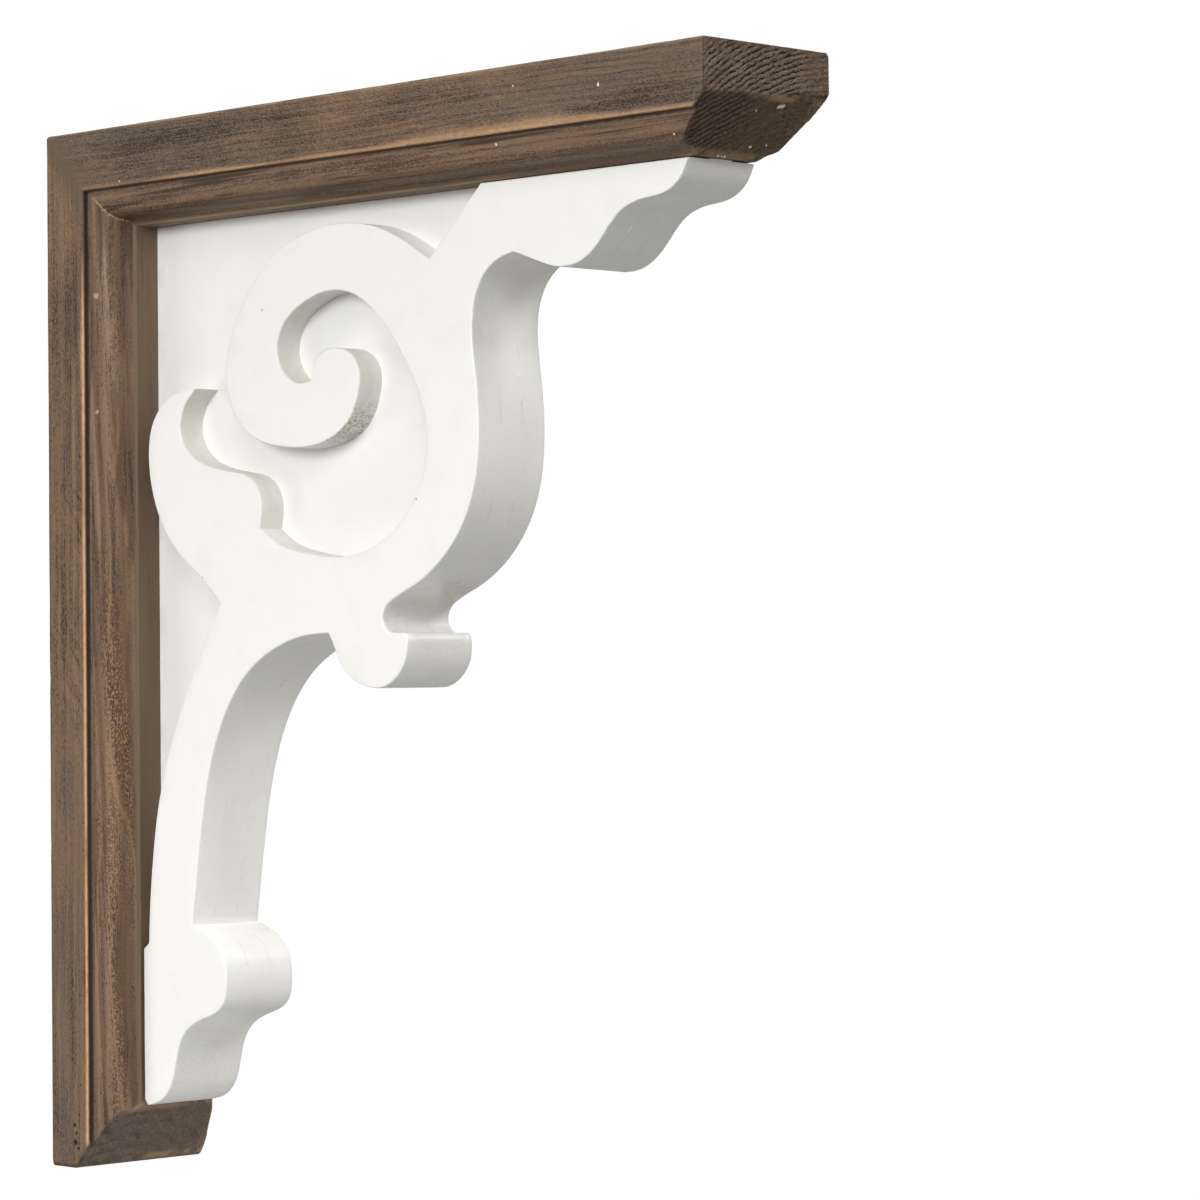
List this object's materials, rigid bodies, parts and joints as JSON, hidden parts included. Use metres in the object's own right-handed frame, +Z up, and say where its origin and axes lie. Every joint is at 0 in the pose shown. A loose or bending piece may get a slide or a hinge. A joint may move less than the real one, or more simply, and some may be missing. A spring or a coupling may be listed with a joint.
{
  "type": "wooden corbel bracket",
  "caption": "Wooden corbel bracket: a mitred frame of stained moulding with a white scroll of sawn boards inside its corner.",
  "frame": {"origin": "on the wall, at the middle of the leg's flat back face", "axes": "+X out from the wall along the arm, +Z up the wall towards the arm, +Y across the bracket's width"},
  "size_m": [0.271, 0.048, 0.305],
  "materials": {
    "brown_stain": "weathered dark brown stain, rubbed through to tan along the edges",
    "white_paint": "warm white satin paint on wood"
  },
  "bodies": {
    "root": {"leg_moulding": "brown_stain", "arm_moulding": "brown_stain", "centre_panel": "white_paint", "scroll_left": "white_paint", "scroll_right": "white_paint"}
  },
  "joints": []
}
